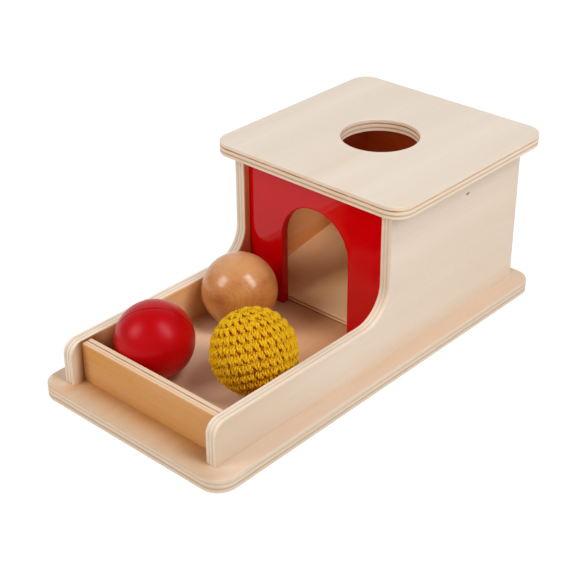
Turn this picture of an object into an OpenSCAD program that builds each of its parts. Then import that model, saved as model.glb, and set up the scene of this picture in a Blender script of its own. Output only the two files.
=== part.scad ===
// Object permanence box: a plywood house with a ball hole in its lid and a ramp inside,
// a red front with an arched doorway, and a walled tray where three loose balls lie.
// Z is up and X runs across. The tray's end is towards -Y and the house stands at +Y.
// The origin is the centre of the base plate's underside. All lengths are in millimetres.

/* [Base plate] */
// Length of the base plate, front to back
base_l = 281; // [262:1:340]
// Width of the base plate
base_w = 141; // [132:1:180]
// Thickness of the base plate
base_t = 8; // [6:0.5:10]
// Radius of the base plate's upright corners
base_corner_r = 12; // [4:1:20]

/* [Side panels] */
// Thickness of a side panel
side_t = 7.5; // [6:0.5:10]
// Height of a side panel's house end above the base plate
side_h = 91.5; // [80:0.5:120]
// Ledge of base plate outside each side panel
side_ledge = 11.5; // [6:0.5:14]
// Ledge of base plate in front of the side panels
front_ledge = 10; // [4:0.5:20]
// Ledge of base plate behind the side panels
rear_ledge = 9; // [4:0.5:20]
// Depth of the house, the tall end of a side panel
house_d = 124; // [100:1:140]
// Height of a tray wall above the base plate
tray_wall_h = 25.5; // [18:0.5:36]
// Radius of the hollow sweep from the tray wall up to the house
sweep_r = 20; // [8:1:40]
// Radius of the tray wall's front top corner
nose_r = 8; // [2:0.5:16]
// Depth of the grooves that hold the front and back panels
groove_d = 2; // [1:0.5:3]

/* [Top plate] */
// Thickness of the top plate
top_t = 7.5; // [6:0.5:10]
// Overhang of the top plate in front of the house
top_front_overhang = 8; // [2:0.5:12]
// Overhang of the top plate behind the house
top_rear_overhang = 9; // [2:0.5:20]
// Overhang of the top plate outside each side panel
top_side_overhang = 11; // [2:0.5:20]
// Radius of the top plate's upright corners
top_corner_r = 12; // [3:1:20]
// Space all round a hard ball as it drops through the hole
hole_clear = 1; // [0.5:0.1:3]

/* [Front and back panels] */
// Thickness of the front and back panels
panel_t = 5; // [4:0.5:8]
// Setback of each panel from the side panels' upright edges
panel_inset = 4; // [2:0.5:8]
// Height of the front panel above the doorway's crown
door_head_h = 20; // [8:0.5:30]
// Space at each side of the widest ball in the doorway
door_clear = 0.5; // [0.5:0.1:4]

/* [Front rail] */
// Thickness of the front rail
rail_t = 7.5; // [6:0.5:10]
// Height of the front rail above the base plate
rail_h = 24; // [16:0.5:36]
// Setback of the front rail from the side panels' front ends
rail_setback = 8; // [3:0.5:20]

/* [Ramp] */
// Thickness of the ramp board
ramp_t = 4; // [3:0.1:6]
// Slope of the ramp in degrees
ramp_angle = 10; // [6:0.5:14]
// Depth of the batten under the ramp's high end
cleat_d = 10; // [6:0.5:16]

/* [Screws and dowels] */
// Diameter of a base screw's shank
screw_d = 3; // [2.5:0.1:3.6]
// Length of a base screw with its head
screw_l = 20; // [16:1:22]
// Diameter of a base screw's head
screw_head_d = 6; // [5:0.5:7.5]
// Diameter of a dowel
dowel_d = 4; // [3:0.5:5]
// Length of a dowel
dowel_l = 14; // [12:1:18]

/* [Balls] */
// Diameter of the two hard balls and of the crochet ball's stuffing
ball_d = 45; // [36:0.5:49]
// Wall of the red ball's moulded halves
shell_t = 2; // [1.5:0.1:4]
// Thickness of the crochet cover
cover_t = 2; // [1:0.1:3]
// Rounds of stitches in the crochet cover
cover_rows = 13; // [11:1:19]
// Space between the wooden ball and the front panel
wooden_ball_panel_gap = 11; // [5:0.5:20]
// Space between the red ball and the left tray wall
red_ball_wall_gap = 3; // [1:0.5:8]
// Space between the crochet ball and the right tray wall
crochet_ball_wall_gap = 1.5; // [1:0.5:5]
// Space between the crochet ball and the front rail
crochet_ball_rail_gap = 23.5; // [10:0.5:40]

/* [Hidden] */
$fn = 64;

// Clearance of glued and driven pieces in their holes and grooves
fit_clear = 0.1;
// Clearance between a loose ball and what it lies on or against
rest_gap = 0.3;
// Overrun of every cut past the face that it opens
overrun = 1;

// Places across the box
side_outer_x = base_w / 2 - side_ledge;
inner_x = side_outer_x - side_t;
side_mid_x = side_outer_x - side_t / 2;

// Places from front to back
side_y0 = -base_l / 2 + front_ledge;
side_y1 = base_l / 2 - rear_ledge;
side_l = side_y1 - side_y0;
house_y0 = side_y1 - house_d;
front_panel_y0 = house_y0 + panel_inset;
front_panel_y1 = front_panel_y0 + panel_t;
back_panel_y1 = side_y1 - panel_inset;
back_panel_y0 = back_panel_y1 - panel_t;
rail_y0 = side_y0 + rail_setback;
rail_y1 = rail_y0 + rail_t;
rail_mid_y = rail_y0 + rail_t / 2;

// The top plate covers the house and its overhangs
top_z = base_t + side_h;
top_w = 2 * (side_outer_x + top_side_overhang);
top_l = house_d + top_front_overhang + top_rear_overhang;
top_mid_y = house_y0 - top_front_overhang + top_l / 2;
hole_d = ball_d + 2 * hole_clear;

// The panels stand in the side panels' grooves, and the doorway lets the widest ball out
crochet_d = ball_d + 2 * cover_t;
panel_w = 2 * (inner_x + groove_d - fit_clear);
door_w = crochet_d + 2 * door_clear;
door_spring_h = side_h - door_head_h - door_w / 2;

// The ramp runs from the front panel's foot up to the back panel
ramp_w = 2 * (inner_x - fit_clear);
ramp_y0 = front_panel_y1 + fit_clear;
ramp_y1 = back_panel_y0 - fit_clear;
ramp_rise = (ramp_y1 - ramp_y0) * tan(ramp_angle);
ramp_upright_t = ramp_t / cos(ramp_angle);
cleat_y0 = ramp_y1 - cleat_d;
cleat_front_h = (cleat_y0 - ramp_y0) * tan(ramp_angle);

// Screws: the head's shape, and where they stand along the side panels and the rail
screw_sink = 0.4;
screw_rim_t = 0.4;
screw_tip_l = 3;
screw_recess_l_share = 0.6;
screw_recess_w_share = 0.16;
screw_recess_depth_share = 0.25;
side_screw_shares = [0.08, 0.36, 0.64, 0.92];
rail_screw_shares = [-0.5, 0.5];
screw_spots = concat(
    [for (side = [-1, 1], share = side_screw_shares) [side * side_mid_x, side_y0 + share * side_l]],
    [for (share = rail_screw_shares) [share * inner_x, rail_mid_y]]
);

// Dowels: the part of a board that a blind hole goes through, and where they stand
dowel_bite_share = 0.6;
dowel_chamfer = 0.5;
lid_dowel_shares = [0.2, 0.8];
rail_dowel_shares = [0.3, 0.7];
lid_dowel_z = top_z + dowel_bite_share * top_t - dowel_l;
rail_dowel_x = inner_x + dowel_bite_share * side_t;

// Balls at rest on the tray's floor. A ball that finds no room beside another lies on top of it.
function piled_z(floor_z, reach, spot, other) =
    let (spread = norm([spot.x - other.x, spot.y - other.y]))
    spread >= reach ? floor_z : max(floor_z, other.z + sqrt(reach ^ 2 - spread ^ 2));
ball_r = ball_d / 2;
crochet_r = crochet_d / 2;
ball_z = base_t + rest_gap + ball_r;
red_ball_at = [-inner_x + red_ball_wall_gap + ball_r, rail_y1 + rest_gap + ball_r, ball_z];
crochet_spot = [
    inner_x - crochet_ball_wall_gap - crochet_r,
    rail_y1 + crochet_ball_rail_gap + crochet_r
];
crochet_reach = crochet_r + ball_r + rest_gap;
crochet_ball_at = [
    crochet_spot.x,
    crochet_spot.y,
    piled_z(base_t + rest_gap + crochet_r, crochet_reach, crochet_spot, red_ball_at)
];
wooden_spot = [
    -inner_x + rest_gap + ball_r,
    front_panel_y0 - wooden_ball_panel_gap - ball_r
];
wooden_ball_at = [
    wooden_spot.x,
    wooden_spot.y,
    max(
        piled_z(ball_z, ball_d + rest_gap, wooden_spot, red_ball_at),
        piled_z(ball_z, crochet_reach, wooden_spot, crochet_ball_at)
    )
];

// The red ball lies with its parting seam nearly upright
seam_turn = [0, 99, -45];
seam_groove_w = 0.5;

// The crochet cover leans to the left, and its rounds are rolls from pole to pole
cover_turn = [0, 28, 171];
cover_pole_angle = 8;
cover_row_angle = (180 - 2 * cover_pole_angle) / (cover_rows - 1);
cover_roll_overlap_share = 1.12;
cover_roll_r = crochet_r * sin(cover_row_angle / 2) * cover_roll_overlap_share;

ply_colour = [0.88, 0.78, 0.66];
red_colour = [0.72, 0.03, 0.04];

// A board lying flat, centred on the origin, with round upright corners
module rounded_board(width, length, thick, corner_r) {
    linear_extrude(thick) {
        square([width - 2 * corner_r, length], center = true);
        square([width, length - 2 * corner_r], center = true);
        for (x = [-1, 1], y = [-1, 1])
            translate([x * (width / 2 - corner_r), y * (length / 2 - corner_r)])
                circle(corner_r);
    }
}

// The profile of a screw, or of its countersunk hole when it is grown by a clearance
module screw_profile(grow, low, high) {
    head_r = screw_head_d / 2 + grow;
    shank_r = screw_d / 2 + grow;
    polygon([
        [0, low], [head_r, low], [head_r, screw_rim_t],
        [shank_r, screw_rim_t + head_r - shank_r], [shank_r, high], [0, high]
    ]);
}

// A countersunk wood screw, head down, its head's face at height zero
module screw() {
    recess_depth = screw_recess_depth_share * screw_head_d;
    difference() {
        rotate_extrude() {
            screw_profile(0, 0, screw_l - screw_tip_l);
            translate([0, screw_l - screw_tip_l])
                polygon([[0, 0], [screw_d / 2, 0], [0, screw_tip_l]]);
        }
        for (turn = [0, 90])
            rotate(turn)
                translate([0, 0, (recess_depth - overrun) / 2])
                    cube([
                        screw_recess_l_share * screw_head_d,
                        screw_recess_w_share * screw_head_d,
                        recess_depth + overrun
                    ], center = true);
    }
}

// The hole that a screw leaves in the boards above its head
module screw_hole() {
    rotate_extrude()
        screw_profile(fit_clear, -screw_sink - overrun, screw_l + fit_clear);
}

// A dowel standing on the origin, with chamfered ends
module dowel() {
    r = dowel_d / 2;
    rotate_extrude()
        polygon([
            [0, 0], [r - dowel_chamfer, 0], [r, dowel_chamfer],
            [r, dowel_l - dowel_chamfer], [r - dowel_chamfer, dowel_l], [0, dowel_l]
        ]);
}

// The pair of blind holes that a dowel fills
module dowel_hole() {
    translate([0, 0, -fit_clear])
        cylinder(r = dowel_d / 2 + fit_clear, h = dowel_l + 2 * fit_clear);
}

module at_base_screws() {
    for (spot = screw_spots)
        translate([spot.x, spot.y, screw_sink])
            children();
}

module at_lid_dowels() {
    for (side = [-1, 1], share = lid_dowel_shares)
        translate([side * side_mid_x, house_y0 + share * house_d, lid_dowel_z])
            children();
}

module at_rail_dowels() {
    for (side = [-1, 1], share = rail_dowel_shares)
        translate([side * rail_dowel_x, rail_mid_y, base_t + share * rail_h])
            rotate([0, -90 * side, 0])
                children();
}

// Stands a front-to-back outline upright and makes it a board from x0 to x1
module upright_board(x0, x1) {
    translate([x0, 0, base_t])
        rotate([90, 0, 90])
            linear_extrude(x1 - x0)
                children();
}

// Outline of a side panel: a low tray wall with a round nose, swept up to the house
module side_outline() {
    difference() {
        translate([side_y0, 0])
            square([side_l, tray_wall_h]);
        difference() {
            translate([side_y0 - overrun, tray_wall_h - nose_r])
                square([nose_r + overrun, nose_r + overrun]);
            translate([side_y0 + nose_r, tray_wall_h - nose_r])
                circle(nose_r);
        }
    }
    translate([house_y0, 0])
        square([house_d, side_h]);
    difference() {
        translate([house_y0 - sweep_r, tray_wall_h - overrun])
            square([sweep_r + overrun, sweep_r + overrun]);
        translate([house_y0 - sweep_r, tray_wall_h + sweep_r])
            circle(sweep_r);
    }
}

// The right-hand side panel, with its panel grooves and its screw and dowel holes
module side_panel() {
    difference() {
        upright_board(inner_x, side_outer_x)
            side_outline();
        for (y = [front_panel_y0, back_panel_y0])
            translate([inner_x - overrun, y - fit_clear, base_t - overrun])
                cube([groove_d + overrun, panel_t + 2 * fit_clear, side_h + 2 * overrun]);
        at_base_screws()
            screw_hole();
        at_lid_dowels()
            dowel_hole();
        at_rail_dowels()
            dowel_hole();
    }
}

// Stands a panel's outline upright across the house, its front face at y0
module house_panel(y0) {
    translate([0, y0 + panel_t, base_t])
        rotate([90, 0, 0])
            linear_extrude(panel_t)
                difference() {
                    translate([-panel_w / 2, 0])
                        square([panel_w, side_h]);
                    children();
                }
}

// Half of the red ball's shell, its seam face on the XY plane
module ball_half() {
    rotate_extrude()
        difference() {
            intersection() {
                circle(ball_r);
                square(ball_r + overrun);
            }
            circle(ball_r - shell_t);
            translate([ball_r, 0])
                rotate(45)
                    square(seam_groove_w, center = true);
        }
}

module base_plate() {
    color(ply_colour)
        difference() {
            rounded_board(base_w, base_l, base_t, base_corner_r);
            at_base_screws()
                screw_hole();
        }
}

module right_side_panel() {
    color(ply_colour)
        side_panel();
}

module left_side_panel() {
    color(ply_colour)
        mirror([1, 0, 0])
            side_panel();
}

module front_panel() {
    color(red_colour)
        house_panel(front_panel_y0) {
            translate([-door_w / 2, -overrun])
                square([door_w, door_spring_h + overrun]);
            translate([0, door_spring_h])
                circle(d = door_w);
        }
}

module back_panel() {
    color(ply_colour)
        house_panel(back_panel_y0);
}

module top_plate() {
    color(ply_colour)
        difference() {
            translate([0, top_mid_y, top_z])
                rounded_board(top_w, top_l, top_t, top_corner_r);
            translate([0, top_mid_y, top_z - overrun])
                cylinder(d = hole_d, h = top_t + 2 * overrun);
            at_lid_dowels()
                dowel_hole();
        }
}

module front_rail() {
    color(ply_colour)
        difference() {
            translate([-inner_x, rail_y0, base_t])
                cube([2 * inner_x, rail_t, rail_h]);
            at_base_screws()
                screw_hole();
            at_rail_dowels()
                dowel_hole();
        }
}

module ramp() {
    color(ply_colour)
        upright_board(-ramp_w / 2, ramp_w / 2)
            polygon([
                [ramp_y0, 0], [ramp_y1, ramp_rise],
                [ramp_y1, ramp_rise + ramp_upright_t], [ramp_y0, ramp_upright_t]
            ]);
}

module ramp_cleat() {
    color(ply_colour)
        upright_board(-ramp_w / 2, ramp_w / 2)
            polygon([[cleat_y0, 0], [ramp_y1, 0], [ramp_y1, ramp_rise], [cleat_y0, cleat_front_h]]);
}

module base_screws() {
    color("silver")
        at_base_screws()
            screw();
}

module lid_dowels() {
    color("burlywood")
        at_lid_dowels()
            dowel();
}

module rail_dowels() {
    color("burlywood")
        at_rail_dowels()
            dowel();
}

module wooden_ball() {
    color([0.80, 0.59, 0.40])
        translate(wooden_ball_at)
            sphere(ball_r);
}

module red_ball_front_half() {
    color(red_colour)
        translate(red_ball_at)
            rotate(seam_turn)
                ball_half();
}

module red_ball_rear_half() {
    color(red_colour)
        translate(red_ball_at)
            rotate(seam_turn)
                mirror([0, 0, 1])
                    ball_half();
}

module crochet_cover() {
    color([0.85, 0.66, 0.12])
        translate(crochet_ball_at)
            rotate(cover_turn)
                rotate_extrude()
                    difference() {
                        for (row = [0 : cover_rows - 1])
                            rotate(90 - cover_pole_angle - row * cover_row_angle)
                                translate([crochet_r - cover_roll_r, 0])
                                    circle(cover_roll_r);
                        circle(ball_r);
                    }
}

module crochet_stuffing() {
    color("ivory")
        translate(crochet_ball_at)
            sphere(ball_r - fit_clear);
}

base_plate();
left_side_panel();
right_side_panel();
front_panel();
back_panel();
top_plate();
front_rail();
ramp();
ramp_cleat();
base_screws();
lid_dowels();
rail_dowels();
wooden_ball();
red_ball_front_half();
red_ball_rear_half();
crochet_cover();
crochet_stuffing();
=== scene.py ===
import math

import bmesh
import bpy
from mathutils import Euler, Matrix, Vector


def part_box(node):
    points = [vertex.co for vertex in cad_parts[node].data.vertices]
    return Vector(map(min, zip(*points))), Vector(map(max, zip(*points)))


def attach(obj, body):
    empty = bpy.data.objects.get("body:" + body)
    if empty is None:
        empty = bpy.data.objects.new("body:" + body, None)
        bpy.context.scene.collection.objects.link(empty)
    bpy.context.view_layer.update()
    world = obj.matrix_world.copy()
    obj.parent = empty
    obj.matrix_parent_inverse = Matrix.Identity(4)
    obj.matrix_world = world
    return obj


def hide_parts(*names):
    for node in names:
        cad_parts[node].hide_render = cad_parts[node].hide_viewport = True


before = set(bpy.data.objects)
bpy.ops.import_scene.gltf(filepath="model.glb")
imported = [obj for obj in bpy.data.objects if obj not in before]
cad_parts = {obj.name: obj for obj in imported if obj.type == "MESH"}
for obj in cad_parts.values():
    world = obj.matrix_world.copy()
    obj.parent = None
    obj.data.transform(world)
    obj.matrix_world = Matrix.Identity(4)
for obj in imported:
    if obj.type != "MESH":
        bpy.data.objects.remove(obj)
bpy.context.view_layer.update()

# The base plate is the flat board that carries everything else. It is five-ply birch, sawn with
# round corners, its arrises eased by sanding, under a clear matt lacquer. Screws enter from below.
# Its face is painted with shade, darker on the front ledge, at the rail's foot, and in the tray by
# the front panel and under the house, and with painted light, paler and warmer, on the tray floor
# between, so their places come in here.
mm = 0.001
full_turn = 2 * math.pi
touching = 0.2 * mm
merge_distance = 0.005 * mm
flat_angle = math.radians(0.3)
crease_angle = math.radians(40)
arris_angle = math.radians(50)
arris_steps = 4
shortest_arris = 60 * mm
top_ease = 0.65 * mm
foot_ease = 0.3 * mm
base_low, base_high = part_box("base_plate")
panel_low, panel_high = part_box("front_panel")
rail_low, rail_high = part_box("front_rail")
wall_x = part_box("right_side_panel")[1].x
pale_veneer = (233, 216, 198)
base_veneer = (231, 205, 182)
# Painted shade: the front ledge darker than the rest of the face, and darker still towards the rail.
base_front_shade = (209, 181, 153)
# Painted shade: darker at the rail's foot, on the ledge before it and on the tray floor behind it.
rail_foot_shade = (190, 138, 88)
# Painted shade: the tray floor darker and warmer by the front panel and on under the house.
tray_shade = (215, 166, 123)
# Painted light: the tray floor between the rail and the front panel paler and warmer, lifting the shade
# between the balls.
tray_floor_painted_light = (243, 209, 177)
core_ply = (231, 212, 191)
cross_band = (196, 166, 138)
glue_line = (158, 108, 72)
knot_brown = (150, 104, 66)
knot_stretch = (0.7, 1.3, 0.0)
knot_strength = 0.85
least_knot = 0.01 * mm
band_reach_share = 0.10
line_reach_share = 0.075
ply_core_share = 0.4
ply_ripple_share = 0.06
tone_edge_share = 0.85
rail_foot_fade = 35 * mm
tray_fade = 85 * mm


def paint(red, green, blue):
    """A colour given as screen values from 0 to 255, as the linear values that a shader takes."""
    shares = [value / 255 for value in (red, green, blue)]
    return [s / 12.92 if s <= 0.04045 else ((s + 0.055) / 1.055) ** 2.4 for s in shares] + [1.0]


def plug(tree, node, inputs):
    """Links each input of a node that is given a socket, and sets each that is given a value."""
    for key, value in inputs.items():
        if isinstance(value, bpy.types.NodeSocket):
            tree.links.new(value, node.inputs[key])
        else:
            node.inputs[key].default_value = value


def wire(tree, kind, inputs, **settings):
    """The outputs of a new node with these settings and inputs."""
    node = tree.nodes.new(kind)
    for name, value in settings.items():
        setattr(node, name, value)
    plug(tree, node, inputs)
    return node.outputs


def calc(tree, operation, *values):
    """One step of arithmetic on sockets or numbers."""
    return wire(tree, "ShaderNodeMath", dict(enumerate(values)), operation=operation)[0]


def product(tree, first, *others):
    """The product of sockets or numbers."""
    for other in others:
        first = calc(tree, "MULTIPLY", first, other)
    return first


def sway(tree, value, share, base, middle=0.5):
    """A base that goes up and down by a share of what a value has above or below its middle."""
    return calc(tree, "MULTIPLY_ADD", calc(tree, "SUBTRACT", value, middle), share, base)


def either(tree, factor, first, second):
    """A number that goes from the first to the second as the factor goes from 0 to 1."""
    return wire(tree, "ShaderNodeMix", {0: factor, 2: first, 3: second})[0]


def tint(tree, factor, first, second):
    """A colour that goes from the first to the second as the factor goes from 0 to 1."""
    return wire(tree, "ShaderNodeMix", {0: factor, 6: first, 7: second}, data_type="RGBA")[2]


def vector_calc(tree, operation, *values):
    """One step of arithmetic on vectors, which gives a number for a length or a dot product."""
    outputs = wire(tree, "ShaderNodeVectorMath", dict(enumerate(values)), operation=operation)
    return outputs["Value" if operation in ("LENGTH", "DOT_PRODUCT") else "Vector"]


def axes_of(tree, vector):
    """The parts of a vector along X, Y and Z."""
    return wire(tree, "ShaderNodeSeparateXYZ", {0: vector})


def from_axes(tree, *parts):
    """A vector from its parts along X, Y and Z."""
    return wire(tree, "ShaderNodeCombineXYZ", dict(enumerate(parts)))[0]


def noise(tree, place, per_metre, detail=2.0):
    """Cloudy variation with so many features to the metre along each axis."""
    spot = vector_calc(tree, "MULTIPLY", place, per_metre)
    return wire(tree, "ShaderNodeTexNoise", {"Vector": spot, "Scale": 1.0, "Detail": detail})[0]


def step_up(tree, value, low, high):
    """A soft step that rises from 0 at low to 1 at high."""
    inputs = {"Value": value, "From Min": low, "From Max": high}
    return wire(tree, "ShaderNodeMapRange", inputs, interpolation_type="SMOOTHSTEP")[0]


def near(tree, value, place, reach):
    """1 where a value is about a place, falling to 0 at that reach from it."""
    away = calc(tree, "ABSOLUTE", calc(tree, "SUBTRACT", value, place))
    return step_up(tree, away, reach, ply_core_share * reach)


def new_group(name, inputs, outputs):
    """An empty shader group with its sockets, its input sockets and its output node."""
    tree = bpy.data.node_groups.new(name, "ShaderNodeTree")
    for in_out, sockets in (("INPUT", inputs), ("OUTPUT", outputs)):
        for socket, kind in sockets.items():
            tree.interface.new_socket(socket, in_out=in_out, socket_type="NodeSocket" + kind)
    return tree, tree.nodes.new("NodeGroupInput").outputs, tree.nodes.new("NodeGroupOutput")


def five_ply_group():
    """Solid plywood. Place runs along the face grain, across it and through the board, in metres."""
    tree, given, result = new_group(
        "five_ply",
        {
            "Place": "Vector", "Facing": "Vector", "Thickness": "Float", "Seed": "Float",
            "Face Veneer": "Color", "Back Veneer": "Color", "Core": "Color",
            "Cross Band": "Color", "Band Place": "Float", "Band Strength": "Float",
            "Glue Line": "Color", "Line Place": "Float", "Line Strength": "Float", "Edge Fade": "Float",
            "Figure": "Float", "Knot Spot": "Vector", "Knot Size": "Float",
        },
        {"Colour": "Color", "Roughness": "Float", "Height": "Float"},
    )
    place = axes_of(tree, given["Place"])
    facing = axes_of(tree, given["Facing"])
    depth = calc(tree, "DIVIDE", place["Z"], given["Thickness"])
    depth = sway(tree, noise(tree, given["Place"], (70, 70, 0)), ply_ripple_share, depth)
    band = near(tree, depth, given["Band Place"], band_reach_share)
    line = near(tree, depth, given["Line Place"], line_reach_share)
    broken = step_up(tree, noise(tree, given["Place"], (60, 60, 0), 3.0), 0.25, 0.6)
    line = calc(tree, "MULTIPLY", line, calc(tree, "MULTIPLY_ADD", broken, 0.6, 0.4))
    crossed = calc(tree, "GREATER_THAN", calc(tree, "MAXIMUM", band, line), 0.5)

    # The cross bands have their fibres at right angles to those of the face
    along = calc(tree, "ADD", either(tree, crossed, place["X"], place["Y"]), given["Seed"])
    across = calc(tree, "ADD", either(tree, crossed, place["Y"], place["X"]), given["Seed"])
    grain = from_axes(tree, along, across, place["Z"])
    fibre = noise(tree, grain, (22, 1200, 1700), 3.0)
    streak = noise(tree, grain, (3, 48, 300))
    wander = product(tree, noise(tree, grain, (5, 16, 60)), 1.7, full_turn)
    rings = calc(tree, "SINE", calc(tree, "MULTIPLY_ADD", across, 260, wander))
    fleck = step_up(tree, noise(tree, grain, (260, 1700, 1700), 1.0), 0.66, 0.74)
    end_of = either(tree, crossed, facing["X"], facing["Y"])
    end_grain = step_up(tree, calc(tree, "ABSOLUTE", end_of), 0.5, 0.95)
    flame = step_up(tree, noise(tree, grain, (14, 75, 300)), 0.45, 0.7)
    patch = step_up(tree, noise(tree, grain, (8, 14, 40)), 0.4, 0.6)
    flame = product(tree, flame, patch, given["Figure"])

    # Darker wood is also stronger in colour
    light = sway(tree, fibre, 0.07, sway(tree, streak, 0.13, 1.0))
    for mark, share in ((rings, 0.004), (fleck, -0.05), (end_grain, -0.05), (flame, -0.02)):
        light = calc(tree, "MULTIPLY_ADD", mark, share, light)
    strong = calc(tree, "MULTIPLY_ADD", light, -2.2, 3.2)
    strong = calc(tree, "MULTIPLY_ADD", flame, 0.3, strong)

    # The face, the core and the back, and the cross plies, which fade in the edges along the grain
    veneer = tint(tree, step_up(tree, depth, 0.90, 0.97), given["Core"], given["Face Veneer"])
    veneer = tint(tree, step_up(tree, depth, 0.10, 0.03), veneer, given["Back Veneer"])
    long_edge = step_up(tree, calc(tree, "ABSOLUTE", facing["Y"]), 0.5, 0.95)
    shown = calc(tree, "SUBTRACT", 1.0, calc(tree, "MULTIPLY", long_edge, given["Edge Fade"]))
    band = product(tree, band, given["Band Strength"], shown)
    line = product(tree, line, given["Line Strength"], shown)
    wood = tint(tree, line, tint(tree, band, veneer, given["Cross Band"]), given["Glue Line"])
    inputs = {"Saturation": strong, "Value": light, "Color": wood}
    wood = wire(tree, "ShaderNodeHueSaturation", inputs)[0]

    # A pin knot in the face veneer
    away = vector_calc(tree, "SUBTRACT", given["Place"], given["Knot Spot"])
    away = vector_calc(tree, "LENGTH", vector_calc(tree, "MULTIPLY", away, knot_stretch))
    inside = calc(tree, "SUBTRACT", given["Knot Size"], away)
    inside = calc(tree, "DIVIDE", inside, calc(tree, "MAXIMUM", given["Knot Size"], least_knot))
    in_face = step_up(tree, depth, 0.7, 0.85)
    knot = product(tree, step_up(tree, inside, 0.0, 0.6), in_face, knot_strength)
    wood = tint(tree, knot, wood, paint(*knot_brown))

    rough = calc(tree, "MULTIPLY_ADD", fibre, 0.16, 0.44)
    rough = calc(tree, "MULTIPLY_ADD", end_grain, 0.08, rough)
    relief = calc(tree, "MULTIPLY_ADD", fleck, -0.5, fibre)
    relief = calc(tree, "MULTIPLY_ADD", line, -0.15, relief)
    plug(tree, result, {"Colour": wood, "Roughness": rough, "Height": relief})
    return tree


five_ply = five_ply_group()


def new_finish(name):
    """A material, its node tree and its main shader."""
    material = bpy.data.materials.new(name)
    material.use_nodes = True
    return material, material.node_tree, material.node_tree.nodes["Principled BSDF"]


def raise_grain(tree, shader, height, distance, strength):
    """Gives a shader relief of that depth from a height between 0 and 1."""
    inputs = {"Height": height, "Distance": distance, "Strength": strength}
    plug(tree, shader, {"Normal": wire(tree, "ShaderNodeBump", inputs)[0]})


def plywood(
    name, axes, back_face, thickness, face, back, seed, band, line, slope=0.0, core=core_ply,
    cross=cross_band, glue=glue_line, edge_fade=0.4, figure=0.4, toned=(), knot_spot=(0.0, 0.0, 0.0),
    knot_size=0.0,
):
    """Lacquered plywood. The axes name the way along the face grain, across it and through the board.

    The band and the line are the cross plies that show in its edges, as places and strengths. Each
    tone is for the face (0) or the back (1). Along the grain it is full as far as its start and gone
    at its end, and it reaches so far to both sides of the middle.
    """
    material, tree, shader = new_finish(name)
    coords = tree.nodes.new("ShaderNodeTexCoord").outputs
    turned = {}
    for socket in ("Object", "Normal"):
        level = wire(tree, "ShaderNodeMapping", {0: coords[socket], "Rotation": (-slope, 0.0, 0.0)})[0]
        parts = axes_of(tree, level)
        turned[socket] = [parts[axis] for axis in axes]
    along, across, through = turned["Object"]
    veneers = [paint(*face), paint(*back)]
    for side, tone, start, end, reach in toned:
        aside = step_up(tree, calc(tree, "ABSOLUTE", across), tone_edge_share * reach, reach)
        untoned = calc(tree, "MAXIMUM", step_up(tree, along, start, end), aside)
        veneers[side] = tint(tree, untoned, paint(*tone), veneers[side])
    inputs = {
        "Place": from_axes(tree, along, across, calc(tree, "SUBTRACT", through, back_face)),
        "Facing": from_axes(tree, *turned["Normal"]), "Thickness": thickness, "Seed": seed,
        "Face Veneer": veneers[0], "Back Veneer": veneers[1], "Core": paint(*core),
        "Cross Band": paint(*cross), "Band Place": band[0], "Band Strength": band[1],
        "Glue Line": paint(*glue), "Line Place": line[0], "Line Strength": line[1],
        "Edge Fade": edge_fade, "Figure": figure, "Knot Spot": knot_spot, "Knot Size": knot_size,
    }
    ply = wire(tree, "ShaderNodeGroup", inputs, node_tree=five_ply)
    finish = {"Base Color": ply["Colour"], "Roughness": ply["Roughness"], "Specular IOR Level": 0.2}
    plug(tree, shader, finish)
    raise_grain(tree, shader, ply["Height"], distance=0.06 * mm, strength=0.5)
    return material


def long_runs(edges):
    """The edges of runs that are long enough for an arris, which leaves out the rims of small holes."""
    waiting = dict.fromkeys(edges)
    kept = []
    while waiting:
        run = [waiting.popitem()[0]]
        for edge in run:
            for other in [o for vert in edge.verts for o in vert.link_edges]:
                if other in waiting:
                    waiting.pop(other)
                    run.append(other)
        if sum(edge.calc_length() for edge in run) > shortest_arris:
            kept += run
    return kept


def sharp_edges(shape, ease_at, ease):
    """The sharp outer edges of a board that get this much rounding."""
    steep = [e for e in shape.edges if e.is_convex and e.calc_face_angle(0.0) > arris_angle]
    return [e for e in steep if ease_at((e.verts[0].co + e.verts[1].co) / 2) == ease]


def set_out(name, data):
    """An object with that mesh, lamp or camera, linked to the scene."""
    thing = bpy.data.objects.new(name, data)
    bpy.context.scene.collection.objects.link(thing)
    return thing


def finished(name, shape):
    """An object with the mesh of a finished shape, shaded smooth."""
    for face in shape.faces:
        face.smooth = True
    mesh = bpy.data.meshes.new(name)
    shape.to_mesh(mesh)
    shape.free()
    return set_out(name, mesh)


def eased_copy(node, name, eases, ease_at):
    """A copy of a board with its free arrises rounded by what ease_at gives there, 0 for a butting edge."""
    shape = bmesh.new()
    shape.from_mesh(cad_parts[node].data)
    bmesh.ops.remove_doubles(shape, verts=shape.verts, dist=merge_distance)
    bmesh.ops.dissolve_limit(shape, angle_limit=flat_angle, verts=shape.verts, edges=shape.edges)
    for ease in eases:
        bmesh.ops.bevel(
            shape, geom=long_runs(sharp_edges(shape, ease_at, ease)), offset=ease, segments=arris_steps,
            profile=0.5, affect="EDGES", clamp_overlap=True,
        )
    for edge in shape.edges:
        edge.smooth = edge.calc_face_angle(0.0) < crease_angle
    board = finished(name, shape)
    board.modifiers.new("even_normals", "WEIGHTED_NORMAL").keep_sharp = True
    return board


def fit(piece, material, body, slot, *nodes):
    """Gives a finished piece its material and puts it in the place of its solids."""
    piece.data.materials.clear()
    piece.data.materials.append(material)
    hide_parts(*nodes)
    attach(piece, body)


def flat_board_ease(low, high):
    """For a flat board, whose upper arrises are sanded round and the lower ones only broken."""
    return lambda spot: top_ease if spot.z > (low.z + high.z) / 2 else foot_ease


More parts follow.
